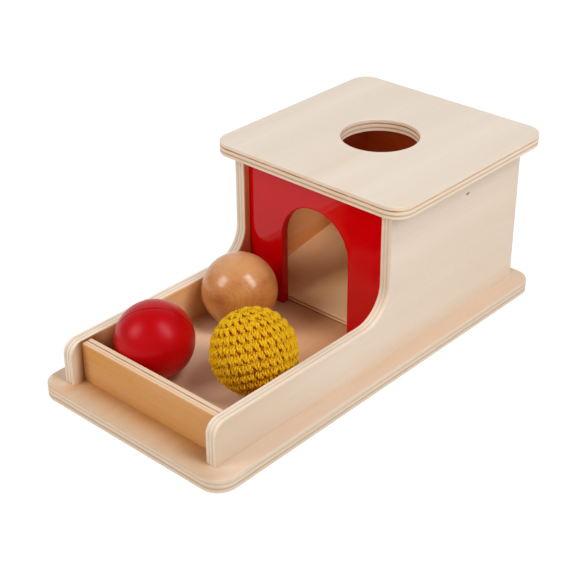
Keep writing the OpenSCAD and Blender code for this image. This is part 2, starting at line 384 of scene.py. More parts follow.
base_ease_at = flat_board_ease(base_low, base_high)
base_board = eased_copy("base_plate", "base_board", (top_ease, foot_ease), base_ease_at)
base_ply = plywood(
    "base_ply", "YXZ", base_low.z, base_high.z - base_low.z, base_veneer, pale_veneer, seed=0.31,
    band=(0.32, 1.0), line=(0.69, 0.4),
    # These tones are painted shade on the ledge, at the rail's foot and by the front panel, and painted
    # light on the tray floor between.
    toned=(
        (0, tray_floor_painted_light, panel_high.y, panel_high.y + touching, wall_x),
        (0, rail_foot_shade, rail_high.y, rail_high.y + rail_foot_fade, wall_x),
        (0, base_front_shade, base_low.y, rail_low.y, base_high.x),
        (0, tray_shade, panel_low.y, panel_low.y - tray_fade, wall_x),
    ),
)
fit(base_board, base_ply, "box", "ply", "base_plate")

# The front rail closes the tray between the side panels. It is a strip of the same plywood with a
# more orange veneer, set on edge, glued to dowels in the side panels and screwed from below.
rail_ease = 1.1 * mm
honey_veneer = (213, 156, 97)
rail_core = (230, 202, 173)


def rail_ease_at(spot):
    """The rail's ends and underside butt, and its upper arrises are rounded."""
    butts = spot.z < rail_low.z + touching or abs(spot.x) > rail_high.x - touching
    return 0.0 if butts else rail_ease


rail_board = eased_copy("front_rail", "front_rail_board", (rail_ease,), rail_ease_at)
rail_ply = plywood(
    "rail_ply", "XZY", rail_high.y, rail_low.y - rail_high.y, honey_veneer, honey_veneer, seed=1.7,
    band=(0.8, 0.2), line=(0.5, 0.9), edge_fade=0.0, core=rail_core, figure=0.1,
)
fit(rail_board, rail_ply, "box", "ply", "front_rail")

# The side panels are one board each: a low tray wall with a round nose, swept up into the house.
# They are plywood with a paler outer veneer, grooved inside for the front and back panels, and are
# glued to the base and screwed from below. Their inner face is painted with shade, warmer and
# stronger in colour in the tray and the house, dim and red at its back and dark in the corner by the
# rail, with a painted red reflection by the red panel.
rear_low, rear_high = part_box("back_panel")
# On the outer face the nose is darker and warmer, partly the wood's own tone and partly painted shade; on
# the inner face it is the pale end of the painted shade that darkens into the corner by the rail.
nose_veneer = (221, 198, 172)
# Painted shade: the inner face dark in the corner by the rail, in front of it and just behind it.
rail_corner_shade = (146, 92, 50)
# Painted shade: the inner face warmer and stronger in colour along the tray walls.
tray_wall_shade = (236, 188, 138)
# Painted shade with a painted red reflection: the inner face darker and redder by the red front panel.
red_panel_shade_and_reflection = (222, 142, 92)
# Painted shade: the inner face warmer and stronger in colour inside the house.
house_wall_shade = (246, 176, 116)
# Painted shade with a painted red reflection: the inner faces dim and red at the back of the house.
dim_red_shade = (216, 112, 56)
side_core = (238, 223, 204)
side_cross = (192, 152, 116)
outer_nose_fade = 110 * mm
nose_round = 1 * mm
corner_fade = 12 * mm
tray_wall_fade = 30 * mm
house_end = rear_low.y - 50 * mm
dim_start = rear_low.y - 26 * mm
past_head_share = 1.2
groove_edges = (panel_low.y, panel_high.y, rear_low.y, rear_high.y)
groove_reach = 2.5 * mm
pin_knot_y = 78 * mm
pin_knot_z = 85 * mm
pin_knot_size = 1.6 * mm
side_ease = 0.9 * mm
for hand, seed, knot_size in (("left", 2.3, 0.0), ("right", 3.9, pin_knot_size)):
    side_low, side_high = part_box(hand + "_side_panel")
    inner_x, outer_x = (side_high.x, side_low.x) if hand == "left" else (side_low.x, side_high.x)
    whole = past_head_share * side_high.z

    def side_ease_at(spot):
        """The foot, the head under the top plate and the mouths of the grooves stay sharp."""
        from_groove = min(abs(spot.y - edge) for edge in groove_edges)
        grooved = abs(spot.x - inner_x) < groove_reach and from_groove < touching
        butts = spot.z < side_low.z + touching or spot.z > side_high.z - touching
        return 0.0 if butts or grooved else side_ease

    side_board = eased_copy(hand + "_side_panel", hand + "_side_board", (side_ease,), side_ease_at)
    side_ply = plywood(
        hand + "_side_ply", "YZX", inner_x, outer_x - inner_x, pale_veneer, pale_veneer, seed,
        band=(0.66, 0.5), line=(0.36, 0.4), core=side_core, cross=side_cross,
        # The tones on the inner face (1) are painted shade and reflection; the nose tone on the outer face
        # (0) is partly the wood's own tone and partly painted shade.
        toned=(
            (0, nose_veneer, side_low.y, side_low.y + outer_nose_fade, whole),
            (1, dim_red_shade, rear_low.y, rear_high.y, whole),
            (1, house_wall_shade, house_end, dim_start, whole),
            (1, red_panel_shade_and_reflection, panel_low.y, panel_high.y, whole),
            (1, tray_wall_shade, panel_low.y - tray_wall_fade, panel_low.y, whole),
            (1, rail_corner_shade, rail_high.y, rail_high.y + corner_fade, whole),
            (1, nose_veneer, side_low.y + nose_round, rail_low.y, whole),
        ),
        knot_spot=(pin_knot_y, pin_knot_z, 0.0), knot_size=knot_size,
    )
    fit(side_board, side_ply, "box", "ply", hand + "_side_panel")

# The ramp is a thin plywood board that lies between the panels, from the doorway up to the back of
# the house, glued over a batten under its high end. Both are plain wood and mostly hidden.
ramp_low, ramp_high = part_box("ramp")
cleat_low, cleat_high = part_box("ramp_cleat")
ramp_slope = math.radians(10)
ramp_thickness = 4 * mm
ramp_ease = 0.4 * mm
ramp_back = ramp_low.z * math.cos(ramp_slope) - ramp_low.y * math.sin(ramp_slope)
# Painted light: the ramp's veneer is made lighter than the house walls round it, standing in for light
# inside the house.
ramp_painted_light = (255, 214, 164)
ramp_core = (250, 214, 172)
# A glue line, and the painted shadow of the gap under the ramp's front edge.
ramp_glue_and_shadow = (92, 46, 22)


def ramp_ease_at(spot):
    """The ends that butt against the side panels stay sharp."""
    return 0.0 if abs(spot.x) > ramp_high.x - touching else ramp_ease


ramp_board = eased_copy("ramp", "ramp_board", (ramp_ease,), ramp_ease_at)
# The dark band low in the edges is a painted shadow of the gap under the ramp; the line higher up is a glue
# line.
ramp_ply = plywood(
    "ramp_ply", "YXZ", ramp_back, ramp_thickness, ramp_painted_light, ramp_painted_light, seed=5.2, slope=ramp_slope,
    band=(0.1, 1.0), line=(0.66, 1.0), glue=ramp_glue_and_shadow, cross=ramp_glue_and_shadow, core=ramp_core,
)
fit(ramp_board, ramp_ply, "box", "ply", "ramp")
batten = eased_copy("ramp_cleat", "ramp_batten", (ramp_ease,), ramp_ease_at)
batten_ply = plywood(
    "batten_ply", "XZY", cleat_low.y, cleat_high.y - cleat_low.y, pale_veneer, pale_veneer, seed=6.4,
    band=(0.3, 0.8), line=(0.7, 0.8),
)
fit(batten, batten_ply, "box", "ply", "ramp_cleat")

# The front panel with its arched doorway closes the house towards the tray. It is a thin board that
# is sprayed in gloss red lacquer on every face, and stands glued in the side panels' grooves.
doorway_ease = 0.8 * mm
lacquer_red = (210, 1, 8)
lacquer_deep = (202, 1, 7)


def own_coords(tree):
    """A piece's own coordinates."""
    return tree.nodes.new("ShaderNodeTexCoord").outputs["Object"]


def handling_group():
    """What handling leaves on a smooth finish: faint cloudy marks, and a low swell in the surface."""
    tree, given, result = new_group(
        "handling_marks",
        {"Place": "Vector", "Seed": "Float", "Swell per Metre": "Float"},
        {"Cloud": "Float", "Scuff": "Float", "Swell": "Float"},
    )
    place = vector_calc(tree, "ADD", given["Place"], given["Seed"])
    cloud = noise(tree, place, (28, 28, 28), 4.0)
    scuff = step_up(tree, noise(tree, place, (300, 700, 420), 3.0), 0.58, 0.72)
    inputs = {"Vector": place, "Scale": given["Swell per Metre"], "Detail": 1.0}
    swell = wire(tree, "ShaderNodeTexNoise", inputs)[0]
    plug(tree, result, {"Cloud": cloud, "Scuff": scuff, "Swell": swell})
    return tree


handling_marks = handling_group()


def handled(tree, seed, swell_per_metre):
    """The handling marks of one piece, on its own coordinates."""
    inputs = {"Place": own_coords(tree), "Seed": seed, "Swell per Metre": swell_per_metre}
    return wire(tree, "ShaderNodeGroup", inputs, node_tree=handling_marks)


def clouded(tree, marks, spread, dark, light):
    """A colour that drifts between two with the cloudy marks, the more softly the wider the spread."""
    cloud = step_up(tree, marks["Cloud"], 0.5 - spread, 0.5 + spread)
    return tint(tree, cloud, paint(*dark), paint(*light))


def panel_ease_at(spot):
    """The edges in the grooves, on the base and under the lid stay sharp, and the doorway's are round."""
    in_height = panel_low.z + touching < spot.z < panel_high.z - touching
    return doorway_ease if in_height and abs(spot.x) < panel_high.x - touching else 0.0


lacquer, tree, shader = new_finish("front_lacquer")
marks = handled(tree, seed=0.4, swell_per_metre=260.0)
finish = {
    "Base Color": clouded(tree, marks, 0.2, lacquer_deep, lacquer_red),
    "Roughness": calc(tree, "MULTIPLY_ADD", marks["Scuff"], 0.06, 0.34),
    "Specular IOR Level": 0.0, "Coat Weight": 0.68, "Coat Roughness": 0.035, "Coat IOR": 1.42,
}
plug(tree, shader, finish)
raise_grain(tree, shader, marks["Swell"], distance=0.03 * mm, strength=0.25)
front_panel = eased_copy("front_panel", "front_panel_lacquered", (doorway_ease,), panel_ease_at)
fit(front_panel, lacquer, "box", "red_lacquer", "front_panel")

# The back panel is a plain plywood board in the rear grooves. Through the ball hole its inner face
# shows the same wood as the side panels, so it is lacquered clear like them. Its inner face is painted
# dim and red like theirs at the back of the house: painted shade with a painted red reflection.


def dress(node, material):
    """Gives its finish to a solid that keeps its own shape."""
    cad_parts[node].material_slots[0].material = material


back_ply = plywood(
    "back_ply", "XZY", rear_low.y, rear_high.y - rear_low.y, pale_veneer, dim_red_shade, seed=8.6,
    band=(0.3, 0.8), line=(0.7, 0.6),
)
dress("back_panel", back_ply)

# Four dowels pin the top plate to the side panels and four hold the ends of the front rail. They
# are turned hardwood with chamfered ends, glued into blind holes, so none of them shows.
dowel_light = (222, 186, 142)
dowel_dark = (190, 146, 100)
dowel_ring_pitch = 1.4 * mm


def turned_wood_group():
    """Solid wood on the lathe: growth rings round the Z axis of Place, and fibres along it."""
    tree, given, result = new_group(
        "turned_wood",
        {
            "Place": "Vector", "Light Wood": "Color", "Dark Wood": "Color",
            "Ring Pitch": "Float", "Ring Strength": "Float", "Contrast": "Float",
        },
        {"Colour": "Color", "Fibre": "Float", "From Pith": "Float"},
    )
    place = axes_of(tree, given["Place"])
    from_pith = vector_calc(tree, "LENGTH", from_axes(tree, place["X"], place["Y"]))
    wander = calc(tree, "MULTIPLY", noise(tree, given["Place"], (70, 70, 22), 3.0), 2.6)
    turns = calc(tree, "ADD", calc(tree, "DIVIDE", from_pith, given["Ring Pitch"]), wander)
    ring = calc(tree, "SINE", calc(tree, "MULTIPLY", turns, full_turn))
    ring = calc(tree, "MULTIPLY_ADD", ring, 0.5, 0.5)
    fibre = noise(tree, given["Place"], (1100, 1100, 55), 3.0)
    cloud = noise(tree, given["Place"], (60, 60, 30), 3.0)
    shade = sway(tree, ring, given["Ring Strength"], 0.0)
    shade = sway(tree, cloud, 1.6, sway(tree, fibre, 1.0, shade))
    shade = calc(tree, "MULTIPLY_ADD", shade, given["Contrast"], 0.5)
    shade = wire(tree, "ShaderNodeClamp", {0: shade})[0]
    wood = tint(tree, shade, given["Light Wood"], given["Dark Wood"])
    plug(tree, result, {"Colour": wood, "Fibre": fibre, "From Pith": from_pith})
    return tree


turned_wood = turned_wood_group()


def hardwood(name, pith, turn, ring_pitch, ring_strength, contrast, light, dark):
    """Turned hardwood: its tree, shader and wood too, so that a piece can add its own finish."""
    material, tree, shader = new_finish(name)
    from_pith = vector_calc(tree, "SUBTRACT", own_coords(tree), pith)
    inputs = {0: from_pith, "Rotation": turn}
    place = wire(tree, "ShaderNodeVectorRotate", inputs, rotation_type="EULER_XYZ", invert=True)[0]
    inputs = {
        "Place": place, "Ring Pitch": ring_pitch, "Ring Strength": ring_strength,
        "Contrast": contrast, "Light Wood": paint(*light), "Dark Wood": paint(*dark),
    }
    wood = wire(tree, "ShaderNodeGroup", inputs, node_tree=turned_wood)
    return material, tree, shader, wood


for node, turn in (("lid_dowels", (0.0, 0.0, 0.0)), ("rail_dowels", (0.0, math.pi / 2, 0.0))):
    dowel_wood, tree, shader, wood = hardwood(
        node + "_wood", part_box(node)[1], turn, dowel_ring_pitch, ring_strength=0.5, contrast=1.0,
        light=dowel_light, dark=dowel_dark,
    )
    plug(tree, shader, {"Base Color": wood["Colour"], "Roughness": 0.7})
    raise_grain(tree, shader, wood["Fibre"], distance=0.05 * mm, strength=0.5)
    dress(node, dowel_wood)

# The top plate is the lid of the house, with the ball hole through its middle. It is the palest of
# the plywood boards, with round corners and eased arrises, glued and dowelled to the side panels.
top_low, top_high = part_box("top_plate")
top_veneer = (230, 216, 200)
top_core = (242, 222, 200)
top_ease_at = flat_board_ease(top_low, top_high)
top_board = eased_copy("top_plate", "top_board", (top_ease, foot_ease), top_ease_at)
top_ply = plywood(
    "top_ply", "YXZ", top_low.z, top_high.z - top_low.z, top_veneer, pale_veneer, seed=7.7,
    band=(0.30, 1.0), line=(0.667, 1.0), core=top_core, figure=1.0,
)
fit(top_board, top_ply, "box", "ply", "top_plate")

# Ten countersunk wood screws hold the base plate to the side panels and the rail from below. They
# are zinc plated steel with cross recesses, their heads sunk just under the base's face.
zinc_light = (196, 198, 198)
zinc_dark = (150, 154, 158)
zinc, tree, shader = new_finish("zinc_plate")
marks = handled(tree, seed=0.8, swell_per_metre=900.0)
finish = {
    "Base Color": clouded(tree, marks, 0.15, zinc_dark, zinc_light),
    "Roughness": calc(tree, "MULTIPLY_ADD", marks["Scuff"], 0.2, 0.28),
    "Metallic": 1.0,
}
plug(tree, shader, finish)
raise_grain(tree, shader, marks["Swell"], distance=0.02 * mm, strength=0.4)
dress("base_screws", zinc)

# The wooden ball is turned from one piece of pale hardwood, its end grain low at the front, then
# sanded and dipped in clear gloss varnish. It lies loose in the tray before the red panel.
wooden_low, wooden_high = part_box("wooden_ball")
wooden_centre = (wooden_low + wooden_high) / 2
ball_light = (210, 146, 78)
ball_dark = (177, 100, 38)
ball_ring_pitch = 3.1 * mm
pith_red = (166, 88, 58)
pith_radius = 7 * mm
pith_smudge = 9 * mm
pith_strength = 0.7
pith_turn = Vector((0.21, -0.97, 0.15)).to_track_quat("Z", "Y").to_euler()
# Painted light: towards the top the ball is painted paler, as if lit from above, from a wavering height.
painted_top_light = (223, 174, 124)
top_light_low = wooden_centre.z + 6 * mm
top_light_full = wooden_high.z + 1 * mm
top_light_wander = 16 * mm
top_light_strength = 0.55
varnished, tree, shader, wood = hardwood(
    "varnished_wood_finish", wooden_centre, pith_turn, ball_ring_pitch, ring_strength=0.14, contrast=0.9,
    light=ball_light, dark=ball_dark,
)
coords = own_coords(tree)
smudge = sway(tree, noise(tree, coords, (210, 210, 420), 3.0), pith_smudge, wood["From Pith"])
pith = product(tree, step_up(tree, smudge, pith_radius, 0.0), pith_strength)
# Painted light from above, fading in towards the top of the ball.
height = sway(tree, noise(tree, coords, (90, 90, 160), 3.0), top_light_wander, axes_of(tree, coords)["Z"])
top_lit = product(tree, step_up(tree, height, top_light_low, top_light_full), top_light_strength)
pithy = tint(tree, pith, wood["Colour"], paint(*pith_red))
finish = {
    "Base Color": tint(tree, top_lit, pithy, paint(*painted_top_light)), "Roughness": 0.5, "Specular IOR Level": 0.2,
    "Coat Weight": 0.75, "Coat Roughness": 0.2, "Coat IOR": 1.5,
}
plug(tree, shader, finish)
raise_grain(tree, shader, wood["Fibre"], distance=0.01 * mm, strength=0.3)
dress("wooden_ball", varnished)

# The red ball is a hollow shell of moulded plastic with a satin skin, in two halves that are welded
# at a seam round the middle. A fine groove with soft lips is left there. It lies loose by the rail.
half_boxes = [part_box("red_ball_front_half"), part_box("red_ball_rear_half")]
red_low = Vector(map(min, *(low for low, high in half_boxes)))
red_high = Vector(map(max, *(high for low, high in half_boxes)))
red_centre = (red_low + red_high) / 2
red_radius = (red_high.z - red_low.z) / 2
seam_turn = Euler((0.0, math.radians(99), math.radians(-45)))
seam_lip = 0.5 * mm
seam_depth = 0.2 * mm
shell_wall = 2 * mm
pole_merge_distance = 0.001 * mm
lathe_steps = 112
arc_steps = 56
inner_steps = 28
lip_steps = 5
plastic_red = (187, 1, 7)
plastic_deep = (179, 1, 6)
seam_red = (140, 0, 5)
plastic_shine = (1.0, 0.42, 0.52, 1.0)


def ball_half(name, facing):
    """Half of the ball's shell: an outer arc, a round lip at the seam, and the inside of the wall."""
    lip_angle = math.asin(seam_lip / (red_radius - seam_lip))
    lip_middle = (red_radius - seam_lip) * math.cos(lip_angle)
    outline = []
    for step in range(arc_steps + 1):
        rise = math.pi / 2 - (math.pi / 2 - lip_angle) * step / arc_steps
        outline.append((red_radius * math.cos(rise), red_radius * math.sin(rise)))
    for step in range(1, lip_steps + 1):
        dip = lip_angle - (math.pi / 2 + lip_angle) * step / lip_steps
        outline.append((lip_middle + seam_lip * math.cos(dip), seam_lip + seam_lip * math.sin(dip)))
    inner = red_radius - shell_wall
    for step in range(inner_steps + 1):
        rise = math.pi / 2 * step / inner_steps
        outline.append((inner * math.cos(rise), inner * math.sin(rise)))
    shape = bmesh.new()
    rings = []
    for turn in range(lathe_steps):
        angle = full_turn * turn / lathe_steps
        rings.append([
            shape.verts.new((reach * math.cos(angle), reach * math.sin(angle), facing * height))
            for reach, height in outline
        ])
    for here, after in zip(rings, rings[1:] + rings[:1]):
        for low in range(len(outline) - 1):
            shape.faces.new((here[low], after[low], after[low + 1], here[low + 1]))
    bmesh.ops.remove_doubles(shape, verts=shape.verts, dist=pole_merge_distance)
    bmesh.ops.recalc_face_normals(shape, faces=shape.faces)
    placed = Matrix.Translation(red_centre) @ seam_turn.to_matrix().to_4x4()
    bmesh.ops.transform(shape, verts=shape.verts, matrix=placed)
    return finished(name, shape)


moulded, tree, shader = new_finish("moulded_red")
marks = handled(tree, seed=4.4, swell_per_metre=120.0)
red = clouded(tree, marks, 0.2, plastic_deep, plastic_red)
from_centre = vector_calc(tree, "SUBTRACT", own_coords(tree), red_centre)
seam_way = seam_turn.to_matrix() @ Vector((0.0, 0.0, 1.0))
from_seam = calc(tree, "ABSOLUTE", vector_calc(tree, "DOT_PRODUCT", from_centre, seam_way))
in_seam = step_up(tree, from_seam, seam_lip, seam_depth)
finish = {
    "Base Color": tint(tree, in_seam, red, paint(*seam_red)),
    "Roughness": calc(tree, "MULTIPLY_ADD", marks["Cloud"], 0.08, 0.3),
    "Specular IOR Level": 0.3, "Specular Tint": plastic_shine,
}
plug(tree, shader, finish)
raise_grain(tree, shader, marks["Swell"], distance=0.03 * mm, strength=0.3)
for node, name, facing in (
    ("red_ball_front_half", "red_ball_front_shell", 1),
    ("red_ball_rear_half", "red_ball_rear_shell", -1),
):
    fit(ball_half(name, facing), moulded, "red_ball", "red_plastic", node)

# The crochet ball is a cover of thick mustard cotton yarn, worked in one spiral of single crochet
# over loose wadding. Each stitch is a V of two legs. The ball is tightly filled but soft.
cover_low, cover_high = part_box("crochet_cover")
cover_centre = (cover_low + cover_high) / 2
cover_radius = (cover_high.x - cover_low.x) / 2
cover_turn = Euler((0.0, math.radians(28), math.radians(171)))
row_pitch = 5.9 * mm
stitch_width = 4.4 * mm
yarn_radius = 1.1 * mm
yarn_sides = 12
yarn_plies = 3
loop_depth = 0.85 * mm
crest_give = 0.4 * mm
path_radius = cover_radius - yarn_radius - loop_depth + crest_give
path_share = path_radius / cover_radius
stitch_count = round(4 * math.pi * cover_radius**2 / (row_pitch * stitch_width))
least_row_share = 0.2
drift_per_stitch = 0.9
lumps_per_radius = 1.7
lining_depth = 1.9 * mm
yarn_light = (233, 184, 27)
# The dark colour serves the yarn's own darker fibres and the painted shade in its hollows and creases.
yarn_dark_and_shade = (168, 70, 0)
yarn_shine = (1.0, 0.75, 0.3, 1.0)
hollow_depth = 2.9 * mm
crest_depth = 0.2 * mm
# Painted light: how much lighter the yarn is towards the top of the ball, and darker towards the bottom.
lighter_top_share = 0.35


def chances(tree, place, scale, detail):
    """Three numbers about 0.5 that drift along a place, each by itself."""
    inputs = {"Vector": place, "Scale": scale, "Detail": detail}
    return axes_of(tree, wire(tree, "ShaderNodeTexNoise", inputs)["Color"])


def scaled(tree, vector, scale):
    """A vector made longer or shorter."""
    return wire(tree, "ShaderNodeVectorMath", {"Vector": vector, "Scale": scale}, operation="SCALE")[0]


def worked_yarn_tree():
    """Geometry group: one strand of plied yarn worked in a spiral of stitches over a ball."""
    tree = bpy.data.node_groups.new("worked_yarn", "GeometryNodeTree")
    sockets = {
        "Int": ("Stitches", "Points per Stitch"),
        "Float": (
            "Path Radius", "Row Pitch", "Stitch Width", "Loop Height", "Loop Depth", "Shingle",
            "Leg Spread", "Pairing", "Lean", "Unevenness", "Wander", "Lumps", "Seed", "Yarn Radius",
            "Twists per Stitch", "Ply Relief", "Lining Radius",
        ),
        "Vector": ("Centre",), "Rotation": ("Turn",), "Material": ("Yarn",),
    }
    for kind, names in sockets.items():
        for name in names:
            tree.interface.new_socket(name, in_out="INPUT", socket_type="NodeSocket" + kind)
    tree.interface.new_socket("Geometry", in_out="OUTPUT", socket_type="NodeSocketGeometry")
    given = tree.nodes.new("NodeGroupInput").outputs
    result = tree.nodes.new("NodeGroupOutput")

    # How far the work has come, in stitches, and the loop's own angle
    index = tree.nodes.new("GeometryNodeInputIndex").outputs[0]
    worked = calc(tree, "DIVIDE", index, given["Points per Stitch"])
    angle = calc(tree, "MULTIPLY", worked, full_turn)
    double = calc(tree, "MULTIPLY", angle, 2.0)
    swing = calc(tree, "COSINE", angle)
    drift = from_axes(tree, calc(tree, "MULTIPLY", worked, drift_per_stitch), given["Seed"])
    slow = chances(tree, drift, scale=1.0, detail=1.0)
    quick = chances(tree, drift, scale=2.3, detail=0.0)
    uneven = [sway(tree, chance, given["Unevenness"], 1.0) for chance in slow]

    # Each stitch: legs in front that spread upwards, with its head and foot behind
    height = product(tree, swing, given["Loop Height"], -1.0, uneven[0])
    spread = calc(tree, "MULTIPLY", calc(tree, "SINE", double), given["Leg Spread"])
    paired = calc(tree, "MULTIPLY", calc(tree, "SINE", angle), given["Pairing"])
    sideways = product(tree, calc(tree, "ADD", spread, paired), given["Stitch Width"], uneven[1])
    sideways = calc(tree, "SUBTRACT", sideways, calc(tree, "MULTIPLY", height, given["Lean"]))
    sideways = sway(tree, quick[0], given["Wander"], sideways)
    height = sway(tree, quick[1], given["Wander"], height)
    outwards = product(tree, calc(tree, "COSINE", double), given["Loop Depth"], -1.0, uneven[2])
    outwards = calc(tree, "ADD", outwards, product(tree, swing, given["Shingle"], -1.0))

    # The spiral of rows from pole to pole, with the same ball area for each stitch
    share = calc(tree, "DIVIDE", calc(tree, "ADD", worked, 0.5), calc(tree, "ADD", given["Stitches"], 1.0))
    polar = calc(tree, "ARCCOSINE", calc(tree, "MULTIPLY_ADD", share, -2.0, 1.0))
    row_angle = calc(tree, "DIVIDE", given["Row Pitch"], given["Path Radius"])
    round_angle = calc(tree, "MULTIPLY", calc(tree, "DIVIDE", polar, row_angle), full_turn)
    row_share = calc(tree, "MAXIMUM", calc(tree, "SINE", polar), least_row_share)
    row_radius = calc(tree, "MULTIPLY", row_share, given["Path Radius"])
    round_angle = calc(tree, "ADD", round_angle, calc(tree, "DIVIDE", sideways, row_radius))
    polar = calc(tree, "SUBTRACT", polar, calc(tree, "DIVIDE", height, given["Path Radius"]))
    ring = calc(tree, "SINE", polar)
    way = from_axes(
        tree,
        calc(tree, "MULTIPLY", ring, calc(tree, "COSINE", round_angle)),
        calc(tree, "MULTIPLY", ring, calc(tree, "SINE", round_angle)),
        calc(tree, "COSINE", polar),
    )
    lump = wire(tree, "ShaderNodeTexNoise", {"Vector": way, "Scale": lumps_per_radius, "Detail": 0.0})[0]
    radius = calc(tree, "ADD", given["Path Radius"], outwards)
    radius = calc(tree, "SUBTRACT", radius, calc(tree, "MULTIPLY", lump, given["Lumps"]))
    position = scaled(tree, way, radius)

    count = calc(tree, "MULTIPLY", given["Stitches"], given["Points per Stitch"])
    line = wire(tree, "GeometryNodeMeshLine", {"Count": count})[0]
    path = wire(tree, "GeometryNodeSetPosition", {"Geometry": line, "Position": position})[0]
    strand = wire(tree, "GeometryNodeMeshToCurve", {0: path})[0]
    twist = product(tree, worked, given["Twists per Stitch"], full_turn)
    strand = wire(tree, "GeometryNodeSetCurveTilt", {"Curve": strand, "Tilt": twist})[0]

    # The plies give the yarn a lobed section
    around = calc(tree, "COSINE", calc(tree, "MULTIPLY", index, yarn_plies * full_turn / yarn_sides))
    lobe = calc(tree, "MULTIPLY_ADD", around, given["Ply Relief"], 1.0)
    inputs = {"Resolution": yarn_sides, "Radius": given["Yarn Radius"]}
    section = wire(tree, "GeometryNodeCurvePrimitiveCircle", inputs)[0]
    lobed = scaled(tree, tree.nodes.new("GeometryNodeInputPosition").outputs[0], lobe)
    section = wire(tree, "GeometryNodeSetPosition", {"Geometry": section, "Position": lobed})[0]
    crown = calc(tree, "MULTIPLY_ADD", around, 0.5, 0.5)
    inputs = {"Geometry": section, "Name": "ply_crown", "Value": crown}
    section = wire(tree, "GeometryNodeStoreNamedAttribute", inputs, data_type="FLOAT", domain="POINT")[0]
    inputs = {"Curve": strand, "Profile Curve": section, "Fill Caps": True}
    yarn = wire(tree, "GeometryNodeCurveToMesh", inputs)[0]

    # The backs of the stitches close the cover against the wadding
    inputs = {"Radius": given["Lining Radius"], "Subdivisions": 5}
    lining = wire(tree, "GeometryNodeMeshIcoSphere", inputs)[0]
    both = tree.nodes.new("GeometryNodeJoinGeometry")
    for part in (yarn, lining):
        tree.links.new(part, both.inputs[0])
    inputs = {"Geometry": both.outputs[0], "Shade Smooth": True}
    smooth = wire(tree, "GeometryNodeSetShadeSmooth", inputs)[0]
    inputs = {"Geometry": smooth, "Translation": given["Centre"], "Rotation": given["Turn"]}
    placed = wire(tree, "GeometryNodeTransform", inputs)[0]
    real = wire(tree, "GeometryNodeRealizeInstances", {0: placed})[0]
    dyed = wire(tree, "GeometryNodeSetMaterial", {"Geometry": real, "Material": given["Yarn"]})[0]
    tree.links.new(dyed, result.inputs[0])
    return tree


yarn_finish, tree, shader = new_finish("mustard_yarn")
coords = own_coords(tree)
out_from = vector_calc(tree, "LENGTH", vector_calc(tree, "SUBTRACT", coords, cover_centre))
fluff = noise(tree, coords, (1100, 1100, 1100), 3.0)
cloud = noise(tree, coords, (150, 150, 150))
crown = wire(tree, "ShaderNodeAttribute", {}, attribute_name="ply_crown")["Fac"]
# Painted light and shade: the yarn is lighter towards the top of the ball and darker towards the bottom.
upper = step_up(tree, axes_of(tree, coords)["Z"], cover_low.z, cover_high.z)
# Painted shade: darker the deeper it lies, in the hollows between stitches and on the lining, and in the
# creases between the plies; the cloud and fluff are the yarn's own tone.
shade = step_up(tree, out_from, cover_radius - hollow_depth, cover_radius - crest_depth)
shade = sway(tree, cloud, 0.5, sway(tree, fluff, 1.1, shade))
shade = sway(tree, crown, 0.8, shade, middle=0.6)
shade = sway(tree, upper, lighter_top_share, shade, middle=0.6)
shade = wire(tree, "ShaderNodeClamp", {0: shade})[0]
finish = {
    "Base Color": tint(tree, shade, paint(*yarn_dark_and_shade), paint(*yarn_light)),
    "Roughness": 0.75, "Specular IOR Level": 0.2, "Specular Tint": yarn_shine,
}
plug(tree, shader, finish)
raise_grain(tree, shader, fluff, distance=0.15 * mm, strength=0.6)

worked_yarn = worked_yarn_tree()
cover_start = set_out("crochet_start", bpy.data.meshes.new("crochet_start"))
work = cover_start.modifiers.new("worked_yarn", "NODES")
work.node_group = worked_yarn
sizes = {
    "Stitches": stitch_count, "Points per Stitch": 22, "Path Radius": path_radius,
    "Row Pitch": row_pitch * path_share, "Stitch Width": stitch_width * path_share,
    "Loop Height": 0.5 * row_pitch * path_share, "Loop Depth": loop_depth, "Shingle": 0.35 * mm,
    "Leg Spread": 0.2, "Pairing": 0.1, "Lean": 0.3, "Unevenness": 1.3, "Wander": 1.9 * mm,
    "Lumps": 0.8 * mm, "Seed": 3.0, "Yarn Radius": yarn_radius, "Twists per Stitch": 2.6,
    "Ply Relief": 0.32, "Lining Radius": cover_radius - lining_depth, "Centre": cover_centre,
    "Turn": cover_turn, "Yarn": yarn_finish,
}
for socket in worked_yarn.interface.items_tree:
    if socket.in_out == "INPUT":
        work[socket.identifier] = sizes[socket.name]
graph = bpy.context.evaluated_depsgraph_get()
cover_mesh = bpy.data.meshes.new_from_object(cover_start.evaluated_get(graph))
cover_mesh.name = "crochet_yarn"
cover_start.modifiers.remove(work)
bpy.data.objects.remove(cover_start)
crochet_cover = set_out("crochet_yarn", cover_mesh)
fit(crochet_cover, yarn_finish, "crochet_ball", "yellow_yarn", "crochet_cover")

# The wadding inside the crochet cover is loose white polyester fibre, pressed into a ball by the
# yarn round it. The backs of the stitches reach inwards, so it is smaller than the cover by that.
wadding_depth = 4.2 * mm
wadding_radius = cover_radius - wadding_depth
wadding_lumps = 0.8 * mm
lump_waves = (7, 8, 6)
lump_shifts = (2, 1, 0)
wadding_dark = (214, 212, 204)
wadding_light = (250, 249, 245)
shape = bmesh.new()
bmesh.ops.create_icosphere(shape, subdivisions=5, radius=wadding_radius)
for vert in shape.verts:
    way = vert.co.normalized()
    swell = math.prod(math.sin(w * part + s) for w, part, s in zip(lump_waves, way, lump_shifts))
    vert.co = cover_centre + way * (wadding_radius - wadding_lumps / 2 * (1 - swell))
wadding = finished("crochet_wadding", shape)
fibre_fill, tree, shader = new_finish("fibre_fill")
tuft = noise(tree, own_coords(tree), (900, 900, 900), 5.0)
fibres = tint(tree, tuft, paint(*wadding_dark), paint(*wadding_light))
plug(tree, shader, {"Base Color": fibres, "Roughness": 0.95})
raise_grain(tree, shader, tuft, distance=0.5 * mm, strength=0.8)
